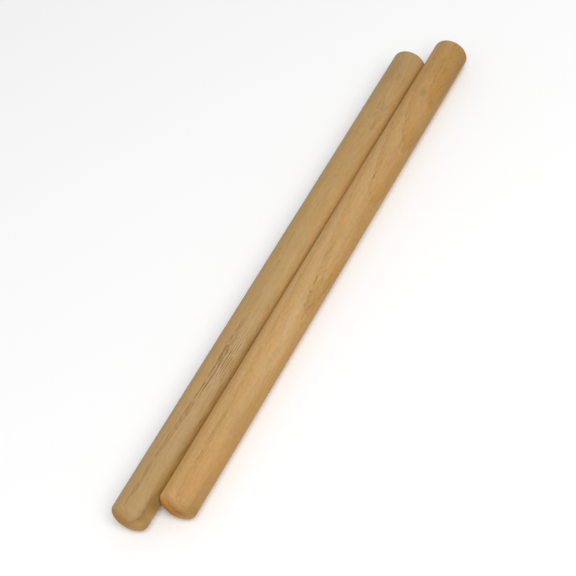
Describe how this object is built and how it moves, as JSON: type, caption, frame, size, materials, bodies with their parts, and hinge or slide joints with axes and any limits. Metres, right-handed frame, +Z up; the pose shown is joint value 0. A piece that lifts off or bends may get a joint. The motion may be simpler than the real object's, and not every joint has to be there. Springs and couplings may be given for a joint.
{
  "type": "claves",
  "caption": "Claves: a pair of plain round hardwood sticks with rounded end edges, lying side by side; one is held and the other strikes it.",
  "frame": {"origin": "on the table, at the bottom centre of the pair's bounding box, midway between the two sticks", "axes": "+Y along the sticks, towards their far ends, where the striker stands further out; +X from the held clave to the striker; +Z up"},
  "size_m": [0.0362, 0.3172, 0.018],
  "materials": {
    "pale_hardwood": "satin",
    "warm_hardwood": "satin"
  },
  "bodies": {
    "held": {"held_clave": "pale_hardwood"},
    "striker": {"striker_clave": "warm_hardwood"}
  },
  "joints": [
    {"name": "striker_lift", "type": "slide", "parent": "held", "child": "striker", "axis": [0, 0, 1], "range_m": [0, 0.15]}
  ]
}
